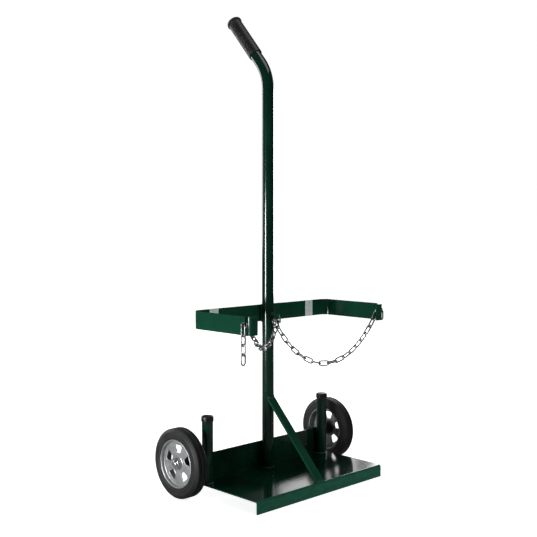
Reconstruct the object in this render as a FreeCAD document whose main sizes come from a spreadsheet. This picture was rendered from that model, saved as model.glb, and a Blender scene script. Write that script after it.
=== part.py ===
import FreeCAD, Part
import math
import os
import re
from types import SimpleNamespace

import Sketcher
from FreeCAD import Placement, Rotation, Vector

# A hand cart for two gas cylinders. +Z is up, +Y points to the wheels, and the floor is Z = 0. The origin
# lies under the middle of the cart's outline. Lengths along Y are measured from the post's axis.

# Driving dimensions, in millimetres and degrees
SIZES = {
    "weld_gap": 0.2,
    "deck_width": 468,
    "deck_front": 204,
    "deck_top": 32,
    "deck_thickness": 3,
    "deck_bend": 3,
    "wall_height": 69,
    "post_diameter": 31.75,
    "post_wall": 2,
    "post_corner": 1093,
    "post_bend": 115,
    "handle_angle": 41,
    "handle_length": 207,
    "grip_length": 135,
    "grip_diameter": 39,
    "grip_end_diameter": 42,
    "grip_end_length": 9,
    "grip_end_wall": 4,
    "grip_edge": 3,
    "grip_bore_gap": 0.1,
    "brace_width": 25,
    "brace_thickness": 6,
    "brace_top": 217,
    "brace_foot": 191,
    "upright_inset": 18.5,
    "upright_diameter": 28.6,
    "upright_wall": 2,
    "upright_length": 170,
    "cap_wall": 1.6,
    "cap_top": 3,
    "cap_skirt": 11,
    "cap_edge": 2,
    "cap_gap": 0.1,
    "strap_overhang": 15,
    "strap_bottom": 430,
    "strap_height": 45,
    "strap_thickness": 4.8,
    "strap_reach": 196,
    "strap_corner": 20,
    "lip_length": 25,
    "lip_bend": 3.5,
    "slot_setback": 14,
    "slot_width": 6.5,
    "slot_depth": 28,
    "wheel_diameter": 178,
    "wheel_width": 38,
    "wheel_clearance": 25,
    "tread_width": 26,
    "shoulder_radius": 80,
    "seat_gap": 0.1,
    "rim_radius": 62,
    "rim_wall": 3,
    "rim_width": 32,
    "web_thickness": 3,
    "web_place": 7,
    "window_count": 5,
    "window_inner_radius": 26,
    "window_outer_radius": 47,
    "window_inner_width": 13,
    "window_outer_width": 25,
    "window_corner": 6,
    "barrel_diameter": 29,
    "barrel_outward": 11.5,
    "barrel_inward": 23.5,
    "running_gap": 0.05,
    "axle_diameter": 15.9,
    "axle_setback": 32.2,
    "axle_gap": 0.1,
    "end_gap": 0.3,
    "washer_diameter": 30,
    "washer_thickness": 2,
    "spacer_diameter": 19.5,
    "hubcap_diameter": 25,
    "hubcap_height": 8,
    "hubcap_edge": 3,
    "bracket_inset": 20,
    "bracket_thickness": 5,
    "bracket_height": 24,
    "eye_wire": 4.5,
    "eye_reach": 30,
    "eye_height": 20,
    "eye_rise": 2,
    "left_hang": 21,
    "right_hang": 9,
    "eye_slack": 0.8,
    "hook_slack": 1.5,
    "link_wire": 4,
    "link_inner_length": 23.6,
    "link_inner_width": 8,
    "link_gap": 0.9,
    "tail_clearance": 1.2,
    "span_clearance": 1.7,
    "left_span_links": 14,
    "right_span_links": 18,
    "left_tail_links": 4,
    "right_tail_links": 1,
}

# Places and sizes that follow from the driving dimensions
PLACES = {
    "post_radius": "post_diameter / 2",
    "handle_run": "handle_length * sin(handle_angle)",
    "grip_end_reach": "grip_end_diameter / 2 * cos(handle_angle) - grip_edge * sin(handle_angle)",
    "post_y": "(deck_front - handle_run - grip_end_reach) / 2",
    "corner_rise": "post_corner - deck_top",
    "bend_tangent": "post_bend * tan(handle_angle / 2)",
    "bend_start": "corner_rise - bend_tangent",
    "bend_end_run": "bend_tangent * sin(handle_angle)",
    "bend_end_rise": "corner_rise + bend_tangent * cos(handle_angle)",
    "tube_length": "handle_length - grip_end_wall - weld_gap",
    "tube_end_run": "tube_length * sin(handle_angle)",
    "tube_end_rise": "corner_rise + tube_length * cos(handle_angle)",
    "grip_radius": "grip_diameter / 2",
    "grip_bore": "post_radius + grip_bore_gap",
    "wall_front": "post_radius + deck_bend + weld_gap",
    "wall_back": "wall_front + deck_thickness",
    "wall_top": "deck_top + wall_height",
    "brace_slope": "(brace_top - deck_top) / (brace_foot - post_radius)",
    "brace_drop": "brace_thickness / 2 * sqrt(1 + brace_slope ^ 2)",
    "brace_step": "brace_thickness / 2 * sqrt(1 + 1 / brace_slope ^ 2)",
    "brace_start": "brace_top + brace_slope * post_radius",
    "deck_side": "deck_width / 2",
    "upright_x": "deck_side - upright_inset",
    "arm_outer": "deck_side + strap_overhang",
    "arm_inner": "arm_outer - strap_thickness",
    "lip_edge": "arm_outer - lip_length",
    "lip_back": "strap_thickness - strap_reach",
    "strap_face": "post_radius + weld_gap",
    "strap_back": "strap_face + strap_thickness",
    "slot_y": "slot_setback - strap_reach",
    "eye_place": "strap_bottom + eye_rise",
    "slot_floor": "strap_height - slot_depth",
    "axle_z": "wheel_diameter / 2",
    "axle_radius": "axle_diameter / 2",
    "wheel_middle": "deck_side + wheel_clearance + wheel_width / 2",
    "outer_washer_at": "wheel_middle + barrel_outward + end_gap",
    "hubcap_at": "outer_washer_at + washer_thickness + end_gap",
    "axle_end": "hubcap_at - end_gap",
    "spacer_end": "wheel_middle - barrel_inward - end_gap",
    "bracket_face": "deck_side - bracket_inset",
    "spacer_length": "spacer_end - bracket_face - end_gap",
    "bracket_rear": "axle_setback + bracket_height / 2",
    "window_inner_x": "window_inner_width / 2",
    "window_outer_x": "window_outer_width / 2",
}

doc = FreeCAD.newDocument("gas_cylinder_cart")
SHEET_OF = {name: "sizes" for name in SIZES} | {name: "places" for name in PLACES}


def formula(text):
    """Expression text with each plain size name led by the name of its sheet."""
    return re.sub(r"[a-z_]+", lambda word: ".".join(filter(None, (SHEET_OF.get(word[0]), word[0]))), text)


def make_sheet(name, cells):
    """Spreadsheet with one named cell on each row."""
    sheet = doc.addObject("Spreadsheet::Sheet", name)
    for row, (alias, content) in enumerate(cells.items(), start=1):
        sheet.set(f"A{row}", alias)
        sheet.set(f"B{row}", content)
        sheet.setAlias(f"B{row}", alias)
    return sheet


sizes = make_sheet("sizes", {name: str(number) for name, number in SIZES.items()})
places = make_sheet("places", {name: "=" + formula(text) for name, text in PLACES.items()})
doc.recompute()
dim = SimpleNamespace(**{name: float(getattr(sizes, name)) for name in SIZES})
vars(dim).update({name: float(getattr(places, name)) for name in PLACES})

SIDES = {"left": -1, "right": 1}
nodes = []
pairs = {}


def bind(item, **formulas):
    """Tie properties of an item to formulas of the sizes."""
    for prop, text in formulas.items():
        item.setExpression(prop.replace("__", "."), formula(text))


def finish(item, label, x="0", y="0", z="0", turn=None, pair=None):
    """Name a sub-part and place it, with y measured from the post's axis, by itself or as one of a pair."""
    item.Label = label
    if turn is not None:
        item.Placement = Placement(Vector(), turn)
    bind(item, Placement__Base__x=x, Placement__Base__y=f"post_y + {y}", Placement__Base__z=z)
    if pair is None:
        nodes.append(item)
    else:
        pairs.setdefault(pair, []).append(item)


def finish_pairs():
    """Sub-parts that each hold the two equal pieces of a pair."""
    for label, pieces in pairs.items():
        pair = doc.addObject("Part::Compound", label)
        pair.Links = pieces
        nodes.append(pair)


def outward(side):
    """Turn that points a piece's local X axis away from the cart on the given side."""
    return Rotation(Vector(0, 0, 1), 0 if side > 0 else 180)


def make_body(name):
    """Empty solid body."""
    return doc.addObject("PartDesign::Body", name)


def make_sketch(body, plane):
    """Empty sketch on one of the body's own planes."""
    sketch = body.newObject("Sketcher::SketchObject", "Sketch")
    support = next(item for item in body.Origin.OriginFeatures if item.Role == plane)
    sketch.AttachmentSupport = (support, "")
    sketch.MapMode = "FlatFace"
    return sketch


def fix_point(sketch, edge, end, spot, guess=(1.0, 1.0)):
    """Hold one end of a sketch edge at a pair of formulas, from a first guess at their values."""
    for kind, text, start in zip(("DistanceX", "DistanceY"), spot, guess):
        index = sketch.addConstraint(Sketcher.Constraint(kind, -1, 1, edge, end, float(start)))
        bind(sketch, **{f"Constraints[{index}]": text})


def draw_polygon(sketch, corners):
    """Closed outline through corners that are each given as a pair of formulas."""
    count = len(corners)
    first = sketch.GeometryCount
    turns = [2 * math.pi * n / count for n in range(count)]
    ring = [Vector(math.cos(turn), math.sin(turn), 0) for turn in turns]
    for n in range(count):
        sketch.addGeometry(Part.LineSegment(ring[n], ring[(n + 1) % count]))
    for n in range(count):
        sketch.addConstraint(Sketcher.Constraint("Coincident", first + n, 2, first + (n + 1) % count, 1))
    for n, corner in enumerate(corners):
        fix_point(sketch, first + n, 1, corner)


def draw_circle(sketch, centre, radius):
    """Circle with its centre and radius given as formulas."""
    edge = sketch.addGeometry(Part.Circle(Vector(), Vector(0, 0, 1), 1.0))
    fix_point(sketch, edge, 3, centre)
    index = sketch.addConstraint(Sketcher.Constraint("Radius", edge, 1.0))
    bind(sketch, **{f"Constraints[{index}]": radius})


def draw_path(sketch, runs, bend=None):
    """Open path of straight runs between fixed points, with an arc between the first two where it bends.

    Each point is a pair of formulas and a pair of first guesses. The bend is the arc and its radius.
    """
    for start, end in runs:
        edge = sketch.addGeometry(Part.LineSegment(*(Vector(*spot, 0) for spot in (start[1], end[1]))))
        fix_point(sketch, edge, 1, *start)
        fix_point(sketch, edge, 2, *end)
    if bend is not None:
        arc, radius = bend
        edge = sketch.addGeometry(arc)
        sketch.addConstraint(Sketcher.Constraint("Coincident", edge, 2, 0, 2))
        sketch.addConstraint(Sketcher.Constraint("Coincident", edge, 1, 1, 1))
        index = sketch.addConstraint(Sketcher.Constraint("Radius", edge, arc.Radius))
        bind(sketch, **{f"Constraints[{index}]": radius})


def pad(body, sketch, length):
    """Even extrusion to both sides of the sketch."""
    feature = body.newObject("PartDesign::Pad", "Pad")
    feature.Profile = sketch
    feature.Midplane = True
    bind(feature, Length=length)
    doc.recompute()
    return feature


def pocket(body, sketch, length):
    """Even cut to both sides of the sketch, which has to take something away."""
    before = body.Shape.Volume
    feature = body.newObject("PartDesign::Pocket", "Pocket")
    feature.Profile = sketch
    feature.Midplane = True
    bind(feature, Length=length)
    doc.recompute()
    if not body.Shape.Volume < before:
        raise ValueError(f"{body.Name}: a cut takes nothing away")
    return feature


def revolve(body, sketch, axis):
    """Full turn of a sketch about one of its own axes."""
    feature = body.newObject("PartDesign::Revolution", "Revolution")
    feature.Profile = sketch
    feature.ReferenceAxis = (sketch, [axis])
    feature.Angle = 360
    doc.recompute()
    return feature


def pipe(body, section, path):
    """Section swept along every edge of a path."""
    feature = body.newObject("PartDesign::AdditivePipe", "Pipe")
    feature.Profile = section
    feature.Spine = (path, [f"Edge{n + 1}" for n in range(path.GeometryCount)])
    feature.Transition = "Right corner"
    doc.recompute()
    return feature


def dress_edges(body, base, test, **size):
    """Fillet by its Radius, or chamfer by its Size, on the edges of a feature that pass the test."""
    names = [f"Edge{n}" for n, edge in enumerate(base.Shape.Edges, start=1) if test(edge)]
    kind = "Fillet" if "Radius" in size else "Chamfer"
    feature = body.newObject(f"PartDesign::{kind}", kind)
    feature.Base = (base, names)
    bind(feature, **size)
    doc.recompute()
    return feature


def near(a, b):
    """Whether two numbers are the same place."""
    return abs(a - b) < 1e-4


def line_at(first, second, spots):
    """Test for straight edges whose two named coordinates match one of the spots."""

    def test(edge):
        ends = [(getattr(vertex.Point, first), getattr(vertex.Point, second)) for vertex in edge.Vertexes]
        return any(all(near(u, a) and near(v, b) for u, v in ends) for a, b in spots)

    return test


def ring_at(axis, spots):
    """Test for circles about a body's axis, by their place along it and their radius."""

    def test(edge):
        curve = edge.Curve
        if not isinstance(curve, Part.Circle):
            return False
        return any(near(getattr(curve.Center, axis), a) and near(curve.Radius, r) for a, r in spots)

    return test


def make_tube(name, outer, bore, length):
    """Round tube along its local Z axis."""
    solids = []
    for diameter in (outer, bore):
        cylinder = doc.addObject("Part::Cylinder", name + "_round")
        bind(cylinder, Radius=f"({diameter}) / 2", Height=length)
        solids.append(cylinder)
    tube = doc.addObject("Part::Cut", name)
    tube.Base, tube.Tool = solids
    return tube


def make_deck():
    """Bent sheet with a lip down to the floor in front and a wall behind."""
    body = make_body("deck")
    sketch = make_sketch(body, "YZ_Plane")
    draw_polygon(sketch, [
        ("-deck_front", "0"),
        ("-deck_front", "deck_top"),
        ("wall_front", "deck_top"),
        ("wall_front", "wall_top"),
        ("wall_back", "wall_top"),
        ("wall_back", "deck_top - deck_thickness"),
        ("deck_thickness - deck_front", "deck_top - deck_thickness"),
        ("deck_thickness - deck_front", "0"),
    ])
    sheet = pad(body, sketch, "deck_width")
    underside = dim.deck_top - dim.deck_thickness
    inner = [(dim.wall_front, dim.deck_top), (dim.deck_thickness - dim.deck_front, underside)]
    sheet = dress_edges(body, sheet, line_at("y", "z", inner), Radius="deck_bend")
    outer = [(-dim.deck_front, dim.deck_top), (dim.wall_back, underside)]
    dress_edges(body, sheet, line_at("y", "z", outer), Radius="deck_bend + deck_thickness")
    finish(body, "deck")


def make_post():
    """Upright tube that bends back into the handle."""
    body = make_body("post")
    section = make_sketch(body, "XY_Plane")
    draw_circle(section, ("0", "0"), "post_radius")
    draw_circle(section, ("0", "0"), "post_radius - post_wall")
    path = make_sketch(body, "YZ_Plane")
    start = (("0", "0"), (0, 0))
    bend_start = (("0", "bend_start"), (0, dim.bend_start))
    bend_end = (("bend_end_run", "bend_end_rise"), (dim.bend_end_run, dim.bend_end_rise))
    end = (("tube_end_run", "tube_end_rise"), (dim.tube_end_run, dim.tube_end_rise))
    circle = Part.Circle(Vector(dim.post_bend, dim.bend_start, 0), Vector(0, 0, 1), dim.post_bend)
    arc = Part.ArcOfCircle(circle, math.pi - math.radians(dim.handle_angle), math.pi)
    draw_path(path, [(start, bend_start), (bend_end, end)], (arc, "post_bend"))
    pipe(body, section, path)
    finish(body, "post", z="deck_top")


def make_grip():
    """Rubber sleeve with a closed, thicker end."""
    body = make_body("handle_grip")
    sketch = make_sketch(body, "XZ_Plane")
    draw_polygon(sketch, [
        ("grip_bore", "0"),
        ("grip_radius", "0"),
        ("grip_radius", "grip_length - grip_end_length"),
        ("grip_end_diameter / 2", "grip_length - grip_end_length"),
        ("grip_end_diameter / 2", "grip_length"),
        ("0", "grip_length"),
        ("0", "grip_length - grip_end_wall"),
        ("grip_bore", "grip_length - grip_end_wall"),
    ])
    sleeve = revolve(body, sketch, "V_Axis")
    dress_edges(body, sleeve, ring_at("z", [(dim.grip_length, dim.grip_end_diameter / 2)]), Size="grip_edge")
    lean = Rotation(Vector(1, 0, 0), -dim.handle_angle)
    run = "(handle_length - grip_length) * sin(handle_angle)"
    rise = "post_corner + (handle_length - grip_length) * cos(handle_angle)"
    finish(body, "handle_grip", y=run, z=rise, turn=lean)


def make_brace():
    """Flat bar from the post down to the deck's front, saddled round the post."""
    body = make_body("brace")
    sketch = make_sketch(body, "YZ_Plane")
    draw_polygon(sketch, [
        ("0", "brace_start + brace_drop"),
        ("0", "brace_start - brace_drop"),
        ("brace_step - brace_foot", "deck_top"),
        ("-brace_step - brace_foot", "deck_top"),
    ])
    pad(body, sketch, "brace_width")
    saddle = make_sketch(body, "XY_Plane")
    draw_circle(saddle, ("0", "0"), "post_radius + weld_gap")
    pocket(body, saddle, "4 * brace_start")
    finish(body, "brace")


def make_strap():
    """Flat bar bent to a wide U, with turned-in ends and a chain slot in each arm."""
    body = make_body("cradle_strap")
    sketch = make_sketch(body, "XY_Plane")
    half = [
        ("lip_edge", "-strap_reach"),
        ("arm_outer", "-strap_reach"),
        ("arm_outer", "strap_back"),
    ]
    inner_half = [
        ("arm_inner", "strap_face"),
        ("arm_inner", "lip_back"),
        ("lip_edge", "lip_back"),
    ]
    mirrored = [(f"-{x}", y) for x, y in half]
    mirrored_inner = [(f"-{x}", y) for x, y in inner_half]
    draw_polygon(sketch, mirrored + half[::-1] + inner_half[::-1] + mirrored_inner)
    bar = pad(body, sketch, "strap_height")
    corners = [(side * dim.arm_inner, dim.strap_face) for side in SIDES.values()]
    bar = dress_edges(body, bar, line_at("x", "y", corners), Radius="strap_corner")
    corners = [(side * dim.arm_outer, dim.strap_back) for side in SIDES.values()]
    bar = dress_edges(body, bar, line_at("x", "y", corners), Radius="strap_corner + strap_thickness")
    corners = [(side * dim.arm_inner, dim.lip_back) for side in SIDES.values()]
    bar = dress_edges(body, bar, line_at("x", "y", corners), Radius="lip_bend")
    corners = [(side * dim.arm_outer, -dim.strap_reach) for side in SIDES.values()]
    dress_edges(body, bar, line_at("x", "y", corners), Radius="lip_bend + strap_thickness")
    slot = make_sketch(body, "YZ_Plane")
    draw_polygon(slot, [
        ("slot_y - slot_width / 2", "slot_floor - strap_height / 2"),
        ("slot_y + slot_width / 2", "slot_floor - strap_height / 2"),
        ("slot_y + slot_width / 2", "strap_height"),
        ("slot_y - slot_width / 2", "strap_height"),
    ])
    pocket(body, slot, "4 * arm_outer")
    finish(body, "cradle_strap", z="strap_bottom + strap_height / 2")


def make_uprights(name, side):
    """Short tube at the deck's back corner, and its vinyl cap."""
    x = f"{side} * upright_x"
    inside = "upright_diameter - 2 * upright_wall"
    tube = make_tube(name + "_upright", "upright_diameter", inside, "upright_length")
    finish(tube, name + "_upright", x=x, z="deck_top")
    body = make_body(name + "_upright_cap")
    sketch = make_sketch(body, "XZ_Plane")
    bore = "upright_diameter / 2 + cap_gap"
    draw_polygon(sketch, [
        (bore, "-cap_skirt"),
        (f"{bore} + cap_wall", "-cap_skirt"),
        (f"{bore} + cap_wall", "cap_top"),
        ("0", "cap_top"),
        ("0", "0"),
        (bore, "0"),
    ])
    cap = revolve(body, sketch, "V_Axis")
    rim = dim.upright_diameter / 2 + dim.cap_gap + dim.cap_wall
    dress_edges(body, cap, ring_at("z", [(dim.cap_top, rim)]), Size="cap_edge")
    finish(body, name + "_upright_cap", x=x, z="deck_top + upright_length", pair="upright_caps")


def make_axle():
    """Straight steel rod through both wheels."""
    rod = doc.addObject("Part::Cylinder", "axle")
    bind(rod, Radius="axle_radius", Height="2 * axle_end")
    finish(rod, "axle", x="-axle_end", y="axle_setback", z="axle_z", turn=Rotation(Vector(0, 1, 0), 90))


def make_axle_fittings(name, side):
    """Bracket, spacer, washer and end cap on one half of the axle."""
    body = make_body(name + "_axle_bracket")
    sketch = make_sketch(body, "YZ_Plane")
    draw_polygon(sketch, [
        ("wall_back", "-bracket_height / 2"),
        ("bracket_rear", "-bracket_height / 2"),
        ("bracket_rear", "bracket_height / 2"),
        ("wall_back", "bracket_height / 2"),
    ])
    draw_circle(sketch, ("axle_setback", "0"), "axle_radius + axle_gap")
    pad(body, sketch, "bracket_thickness")
    x = f"{side} * (bracket_face - bracket_thickness / 2)"
    finish(body, name + "_axle_bracket", x=x, z="axle_z", pair="axle_brackets")

    along = Rotation(Vector(0, 1, 0), 90 * side)
    bore = "axle_diameter + 2 * axle_gap"
    sleeves = {
        "axle_spacer": ("spacer_diameter", "spacer_length", "bracket_face + end_gap"),
        "axle_washer": ("washer_diameter", "washer_thickness", "outer_washer_at"),
    }
    for kind, (outer, length, start) in sleeves.items():
        sleeve = make_tube(f"{name}_{kind}", outer, bore, length)
        x = f"{side} * ({start})"
        finish(sleeve, f"{name}_{kind}", x=x, y="axle_setback", z="axle_z", turn=along, pair=kind + "s")

    body = make_body(name + "_axle_cap")
    sketch = make_sketch(body, "XZ_Plane")
    draw_polygon(sketch, [
        ("0", "0"),
        ("0", "hubcap_diameter / 2"),
        ("hubcap_height - hubcap_edge", "hubcap_diameter / 2"),
        ("hubcap_height", "hubcap_diameter / 2 - hubcap_edge"),
        ("hubcap_height", "0"),
    ])
    revolve(body, sketch, "H_Axis")
    x = f"{side} * hubcap_at"
    finish(body, name + "_axle_cap", x=x, y="axle_setback", z="axle_z", turn=outward(side), pair="axle_caps")


def make_tyre(name, side):
    """Solid rubber tyre with a flat tread and tapered shoulders."""
    body = make_body(name + "_tyre")
    sketch = make_sketch(body, "XZ_Plane")
    half = [
        ("wheel_width / 2", "rim_radius + seat_gap"),
        ("wheel_width / 2", "shoulder_radius"),
        ("tread_width / 2", "wheel_diameter / 2"),
    ]
    draw_polygon(sketch, half + [(f"-({x})", r) for x, r in reversed(half)])
    revolve(body, sketch, "H_Axis")
    x = f"{side} * wheel_middle"
    finish(body, name + "_tyre", x=x, y="axle_setback", z="axle_z", turn=outward(side))


def make_hub(name, side):
    """Steel hub: rim drum, flat web with windows between its spokes, and the barrel that runs on the axle."""
    body = make_body(name + "_wheel_hub")
    sketch = make_sketch(body, "XZ_Plane")
    draw_polygon(sketch, [
        ("rim_width / 2", "rim_radius - rim_wall"),
        ("rim_width / 2", "rim_radius"),
        ("-rim_width / 2", "rim_radius"),
        ("-rim_width / 2", "rim_radius - rim_wall"),
        ("web_place - web_thickness", "rim_radius - rim_wall"),
        ("web_place - web_thickness", "barrel_diameter / 2"),
        ("-barrel_inward", "barrel_diameter / 2"),
        ("-barrel_inward", "axle_radius + running_gap"),
        ("barrel_outward", "axle_radius + running_gap"),
        ("barrel_outward", "barrel_diameter / 2"),
        ("web_place", "barrel_diameter / 2"),
        ("web_place", "rim_radius - rim_wall"),
    ])
    revolve(body, sketch, "H_Axis")
    window = make_sketch(body, "YZ_Plane")
    half = [
        ("window_inner_x", "window_inner_radius"),
        ("window_outer_x", "window_outer_radius - window_corner"),
        ("window_outer_x - window_corner", "window_outer_radius"),
    ]
    draw_polygon(window, half + [(f"-({x})", r) for x, r in reversed(half)])
    hole = pocket(body, window, "2 * wheel_width")
    windows = body.newObject("PartDesign::PolarPattern", "Windows")
    windows.Originals = [hole]
    windows.Axis = (window, ["N_Axis"])
    windows.Angle = 360
    bind(windows, Occurrences="window_count")
    body.Tip = windows
    x = f"{side} * wheel_middle"
    finish(body, name + "_wheel_hub", x=x, y="axle_setback", z="axle_z", turn=outward(side))


def make_eye():
    """Round-bar staple on the front of the post, open to both sides."""
    body = make_body("chain_eye")
    section = make_sketch(body, "XZ_Plane")
    draw_circle(section, ("0", "eye_height / 2"), "eye_wire / 2")
    path = make_sketch(body, "YZ_Plane")
    rise, reach = dim.eye_height / 2, dim.eye_reach
    corners = [
        (("0", "eye_height / 2"), (0, rise)),
        (("-eye_reach", "eye_height / 2"), (-reach, rise)),
        (("-eye_reach", "-eye_height / 2"), (-reach, -rise)),
        (("0", "-eye_height / 2"), (0, -rise)),
    ]
    draw_path(path, list(zip(corners, corners[1:])))
    pipe(body, section, path)
    finish(body, "chain_eye", y="-(post_radius + weld_gap)", z="eye_place + eye_height / 2")


# Chain links: a faceted wire round a stadium, with flat sides so that many links stay light
LINK_SIDES = 4
BOW_STEPS = 4
LINK_PITCH = dim.link_inner_length - dim.link_gap
BOW_RADIUS = (dim.link_inner_width + dim.link_wire) / 2
BOW_REACH = (dim.link_inner_length + dim.link_wire) / 2
PIN_REACH = BOW_REACH - LINK_PITCH / 2


def make_link():
    """One link, long along local X and wide along local Y, about its middle."""
    stations = []
    for end in SIDES.values():
        centre = Vector(-end * (BOW_REACH - BOW_RADIUS), 0, 0)
        for step in range(BOW_STEPS + 1):
            angle = math.pi * (step / BOW_STEPS + end / 2)
            stations.append((centre, Vector(math.cos(angle), math.sin(angle), 0)))
    rings = []
    for centre, radial in stations:
        ring = []
        for n in range(LINK_SIDES):
            turn = 2 * math.pi * n / LINK_SIDES
            outreach = BOW_RADIUS + dim.link_wire / 2 * math.cos(turn)
            ring.append(centre + radial * outreach + Vector(0, 0, dim.link_wire / 2 * math.sin(turn)))
        rings.append(ring)
    faces = []
    for n, ring in enumerate(rings):
        following = rings[(n + 1) % len(rings)]
        for k in range(LINK_SIDES):
            m = (k + 1) % LINK_SIDES
            faces.append(Part.Face(Part.makePolygon([ring[k], ring[m], following[m], following[k], ring[k]])))
    solid = Part.Solid(Part.Shell(faces))
    solid.fix(1e-6, 1e-6, 1e-6)
    if solid.Volume < 0:
        solid.reverse()
    return solid


def laid_link(link, middle, along, across):
    """Copy of a link at a place, with its long and wide directions."""
    copy = link.copy()
    copy.Placement = Placement(middle, Rotation(along, across, along.cross(across), "XYZ"))
    return copy


def hanging_points(start, end, length, count):
    """Points at even steps along a chain of the given length that hangs between two places."""
    flat = Vector(end.x - start.x, end.y - start.y, 0)
    span, rise = flat.Length, end.z - start.z
    low, high = 1e-3, 20.0
    for _ in range(80):
        middle = (low + high) / 2
        if math.sinh(middle) / middle < math.sqrt(length ** 2 - rise ** 2) / span:
            low = middle
        else:
            high = middle
    scale = span / (2 * low)
    offset = span / 2 - scale * math.atanh(rise / length)
    behind = scale * math.sinh(-offset / scale)
    points = []
    for n in range(count + 1):
        s = behind + length * n / count
        run = scale * math.asinh(s / scale) + offset
        height = scale * (math.cosh((run - offset) / scale) - math.cosh(offset / scale))
        points.append(start + flat * (run / span) + Vector(0, 0, height))
    return points


def keep_solids(label, solids, about):
    """Sub-part of loose solids, with its place on the cart."""
    item = doc.addObject("Part::Feature", label)
    item.Label = label
    item.Shape = Part.makeCompound([solid.translated(-about) for solid in solids])
    item.Placement = Placement(about, Rotation())
    nodes.append(item)


def make_chain(name, side):
    """Hanging links from the eye to the arm, the link in the arm's slot and the links left outside."""
    link = make_link()
    wire = dim.link_wire
    contact = wire + dim.link_gap
    slot_floor = dim.strap_bottom + dim.slot_floor
    rest = slot_floor + dim.weld_gap + wire / 2
    slot_y = dim.post_y + dim.slot_y
    tail_x = dim.arm_outer + dim.tail_clearance + BOW_RADIUS + wire / 2
    span_x = dim.arm_inner - dim.span_clearance - wire / 2
    hook = Vector(side * (tail_x + span_x) / 2, slot_y, rest + BOW_RADIUS)
    keep_solids(name + "_hook_link", [laid_link(link, hook, Vector(side, 0, 0), Vector(0, 0, 1))], hook)

    pin = Vector(side * tail_x, slot_y, rest)
    top = pin.z + contact + PIN_REACH - BOW_REACH + LINK_PITCH / 2
    across = [Vector(0, 1, 0), Vector(1, 0, 0)]
    tail = []
    for n in range(int(getattr(dim, name + "_tail_links"))):
        middle = Vector(pin.x, pin.y, top - (n + 0.5) * LINK_PITCH)
        tail.append(laid_link(link, middle, Vector(0, 0, -1), across[n % 2]))
    keep_solids(name + "_chain_tail", tail, pin)
    print(name, "tail pin", [round(c, 4) for c in pin])

    count = int(getattr(dim, name + "_span_links"))
    hang = getattr(dim, name + "_hang")
    eye_y = dim.post_y - dim.post_radius - dim.weld_gap - hang
    eye = Vector(0, eye_y, dim.eye_place)
    hook_bow = Vector(hook.x - side * BOW_REACH, slot_y, hook.z)
    grip = (dim.eye_wire + wire) / 2 + dim.eye_slack
    hold = wire + dim.hook_slack
    first, last = Vector(0, 0, -1), Vector(side, 0, 0)
    for _ in range(12):
        shift = last.x * last.y / (1 - last.y ** 2)
        bow = hook_bow + Vector(side, side * shift, 0).normalize() * hold
        start, end = eye - first * (grip - PIN_REACH), bow - last * PIN_REACH
        points = hanging_points(start, end, count * LINK_PITCH, count)
        first = (points[1] - points[0]).normalize()
        last = (points[-1] - points[-2]).normalize()
    depth = Vector(0, 1, 0)
    links = []
    for n, (start, end) in enumerate(zip(points, points[1:])):
        along = (end - start).normalize()
        flank = (depth - along * depth.dot(along)).normalize()
        wide = flank if n % 2 else along.cross(flank)
        links.append(laid_link(link, (start + end) / 2, along, wide))
    start_pin = eye - first * grip
    keep_solids(name + "_chain_span", links, start_pin)
    print(name, "span pins", [round(c, 4) for c in start_pin], [round(c, 4) for c in bow])


make_deck()
make_post()
make_grip()
make_brace()
make_strap()
make_axle()
make_eye()
for side_name, side_sign in SIDES.items():
    make_uprights(side_name, side_sign)
    make_axle_fittings(side_name, side_sign)
    make_tyre(side_name, side_sign)
    make_hub(side_name, side_sign)
    make_chain(side_name, side_sign)
finish_pairs()
doc.recompute()

for item in doc.Objects:
    if {"Invalid", "Error"} & set(item.State):
        raise ValueError(f"{item.Label} did not build: {item.State}")
for node in nodes:
    if node.Shape.isNull() or not node.Shape.isValid():
        raise ValueError(f"{node.Label} has no valid shape")

os.makedirs("parts", exist_ok=True)
for node in nodes:
    node.Shape.exportStep(f"parts/{node.Label}.step")
box = Part.makeCompound([node.Shape for node in nodes]).BoundBox
corners = (box.XMin, box.YMin, box.ZMin, box.XMax, box.YMax, box.ZMax)
print("nodes", len(nodes), "box", [round(c, 3) for c in corners])
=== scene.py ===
"""Dresses a hand cart for two gas cylinders: green frame, black grip and tyres, bright wheels and chains."""
import logging
import math
from collections.abc import Iterable, Sequence
from dataclasses import dataclass, field
from enum import Enum
from typing import Any

import bmesh
import bpy
import numpy as np
from mathutils import Matrix, Vector


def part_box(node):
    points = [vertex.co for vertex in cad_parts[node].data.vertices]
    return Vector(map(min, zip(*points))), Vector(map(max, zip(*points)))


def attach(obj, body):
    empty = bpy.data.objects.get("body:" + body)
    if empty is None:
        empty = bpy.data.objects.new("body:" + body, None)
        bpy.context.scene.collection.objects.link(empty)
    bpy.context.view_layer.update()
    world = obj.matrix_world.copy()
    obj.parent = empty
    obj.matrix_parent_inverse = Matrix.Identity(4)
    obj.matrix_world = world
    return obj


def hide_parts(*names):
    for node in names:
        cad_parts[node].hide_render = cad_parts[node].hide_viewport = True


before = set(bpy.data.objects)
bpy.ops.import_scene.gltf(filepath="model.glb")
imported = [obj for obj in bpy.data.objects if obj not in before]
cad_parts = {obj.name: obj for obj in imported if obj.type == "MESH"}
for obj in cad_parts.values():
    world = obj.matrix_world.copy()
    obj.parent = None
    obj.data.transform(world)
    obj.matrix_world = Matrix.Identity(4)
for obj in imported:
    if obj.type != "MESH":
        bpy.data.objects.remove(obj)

log = logging.getLogger("gas_cylinder_cart")

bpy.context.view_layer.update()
# Points within MERGE metres are one. A corner with half its angle within STRAIGHT of a right angle is none.
MERGE = 1e-6
STRAIGHT = 1e-3
Point2 = tuple[float, float]
Point3 = tuple[float, float, float]
Colour = Point3
Socket = bpy.types.NodeSocket
Material = bpy.types.Material
Piece = bpy.types.Object


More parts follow.
